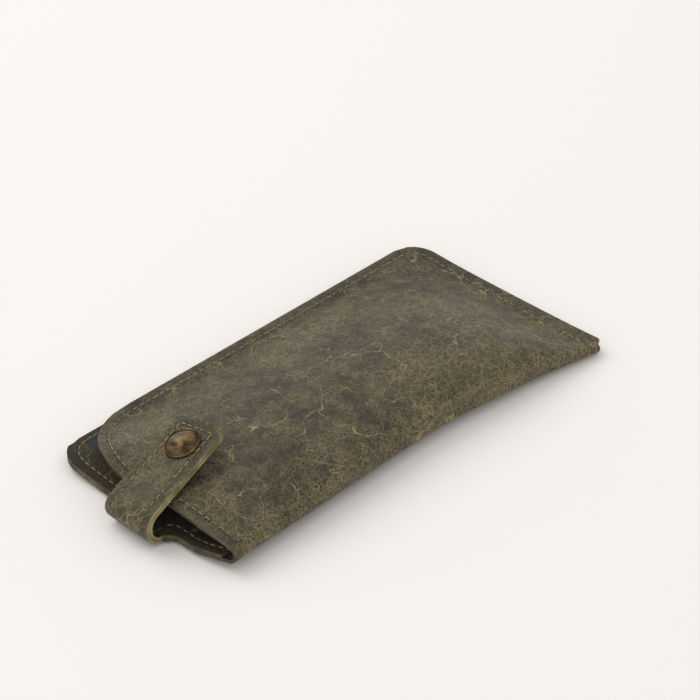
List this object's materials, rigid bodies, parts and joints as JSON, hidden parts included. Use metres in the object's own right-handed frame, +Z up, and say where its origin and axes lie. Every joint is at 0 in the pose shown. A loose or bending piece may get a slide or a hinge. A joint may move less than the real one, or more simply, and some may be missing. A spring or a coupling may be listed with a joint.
{
  "type": "soft pouch glasses case",
  "caption": "Flat leather sleeve for a pair of glasses, open at one end, with a rounded front flap corner and a strap that folds over the mouth and snaps shut.",
  "frame": {"origin": "centre of the bounding box's footprint, on the resting plane", "axes": "+X from the mouth to the closed end, +Y from the folded side to the sewn side, +Z up through the front panel"},
  "size_m": [0.1778, 0.086, 0.024],
  "materials": {
    "leather_olive": "matt pull-up leather, crackled grain",
    "leather_facing": "matt split leather facing",
    "lining_black": "matt black lining",
    "thread_beige": "waxed polyester thread",
    "snap_brass": "antique brass, worn"
  },
  "bodies": {
    "case": {"outer_shell": "leather_olive", "lining": "lining_black", "mouth_facing": "leather_facing", "snap_stud": "snap_brass", "snap_washer": "snap_brass", "snap_post": "snap_brass", "seam_needle_thread": "thread_beige", "seam_bobbin_thread": "thread_beige", "front_mouth_needle_thread": "thread_beige", "front_mouth_bobbin_thread": "thread_beige", "back_mouth_needle_thread": "thread_beige", "back_mouth_bobbin_thread": "thread_beige"},
    "strap_bend": {"strap_bend_leather": "leather_olive", "strap_bend_facing": "leather_facing", "strap_bend_needle_thread": "thread_beige", "strap_bend_bobbin_thread": "thread_beige"},
    "strap_end": {"strap_end_leather": "leather_olive", "strap_end_facing": "leather_facing", "strap_end_needle_thread": "thread_beige", "strap_end_bobbin_thread": "thread_beige", "snap_cap": "snap_brass", "snap_socket": "snap_brass", "snap_spring": "snap_brass"}
  },
  "joints": [
    {"name": "strap_lower_bend", "type": "hinge", "parent": "case", "child": "strap_bend", "pos_m": [-0.08667, -0.00268, 0.00238], "axis": [-0.008, -0.9999, 0.0132], "range_deg": [0, 77]},
    {"name": "strap_upper_bend", "type": "hinge", "parent": "strap_bend", "child": "strap_end", "pos_m": [-0.08783, -0.00226, 0.00972], "axis": [0.004, -0.9943, 0.1068], "range_deg": [0, 77]}
  ],
  "couplings": [
    {"joint": "strap_upper_bend", "follows": "strap_lower_bend", "ratio": 1}
  ]
}
